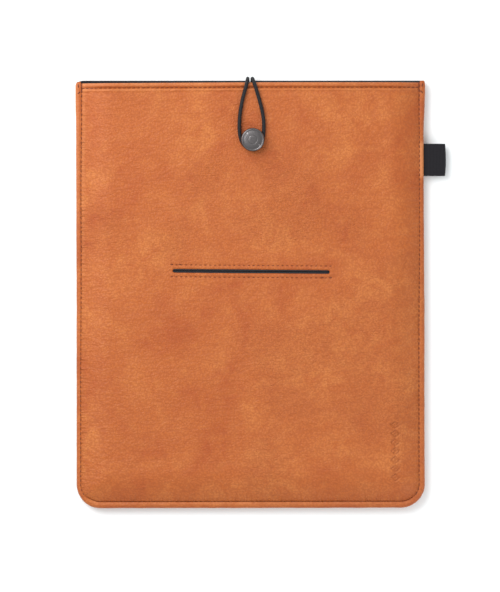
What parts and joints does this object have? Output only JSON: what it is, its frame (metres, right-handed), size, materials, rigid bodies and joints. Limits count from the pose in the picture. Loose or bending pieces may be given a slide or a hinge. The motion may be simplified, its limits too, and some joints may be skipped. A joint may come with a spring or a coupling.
{
  "type": "e-reader sleeve",
  "caption": "Padded tan leather sleeve for an e-reader, with a slit pocket in front, an elastic loop that closes over a metal button, and a webbing side tab.",
  "frame": {"origin": "middle of the sleeve's outline, on the outer face of the rear panel, which it lies on", "axes": "+Z out of the front panel, +Y towards the mouth, +X to the right seen from the front"},
  "size_m": [0.2294, 0.2667, 0.0198],
  "materials": {
    "tan_leather": "satin",
    "foam": "matte",
    "black_lining": "matte",
    "tan_thread": "satin",
    "black_thread": "satin",
    "black_webbing": "matte",
    "black_elastic": "matte",
    "antique_nickel": "satin",
    "stiffener": "matte"
  },
  "bodies": {
    "root": {"front_shell": "tan_leather", "rear_shell": "tan_leather", "front_padding": "foam", "rear_padding": "foam", "front_lining": "black_lining", "rear_lining": "black_lining", "edge_binding": "tan_leather", "slit_facing": "black_lining", "pocket_front_ply": "black_lining", "pocket_rear_ply": "black_lining", "pocket_overlock": "black_thread", "button_tack": "antique_nickel", "button_patch": "stiffener", "loop_tack": "black_thread", "seam_thread_front": "tan_thread", "seam_thread_rear": "tan_thread", "mouth_thread_front": "tan_thread", "mouth_thread_rear": "tan_thread", "slit_thread_upper": "tan_thread", "slit_thread_lower": "tan_thread", "corner_tack_left": "tan_thread", "corner_tack_right": "tan_thread"},
    "button": {"button_cap": "antique_nickel", "button_shank": "antique_nickel"},
    "loop": {"elastic_loop": "black_elastic"},
    "tab": {"side_tab": "black_webbing"}
  },
  "joints": [
    {"name": "loop_lift", "type": "hinge", "parent": "root", "child": "loop", "pos_m": [0, 0.1339, 0.009], "axis": [-1, 0, 0], "range_deg": [0, 170], "deforming": ["elastic_loop"]},
    {"name": "button_spin", "type": "hinge", "parent": "root", "child": "button", "pos_m": [0.0017, 0.0959, 0.0155], "axis": [0, 0, 1], "continuous": true},
    {"name": "tab_flex", "type": "hinge", "parent": "root", "child": "tab", "pos_m": [0.1079, 0.0837, 0.0048], "axis": [0, 1, 0], "range_deg": [-60, 60], "stiffness_Nm_per_rad": 0.003, "deforming": ["side_tab"]}
  ]
}
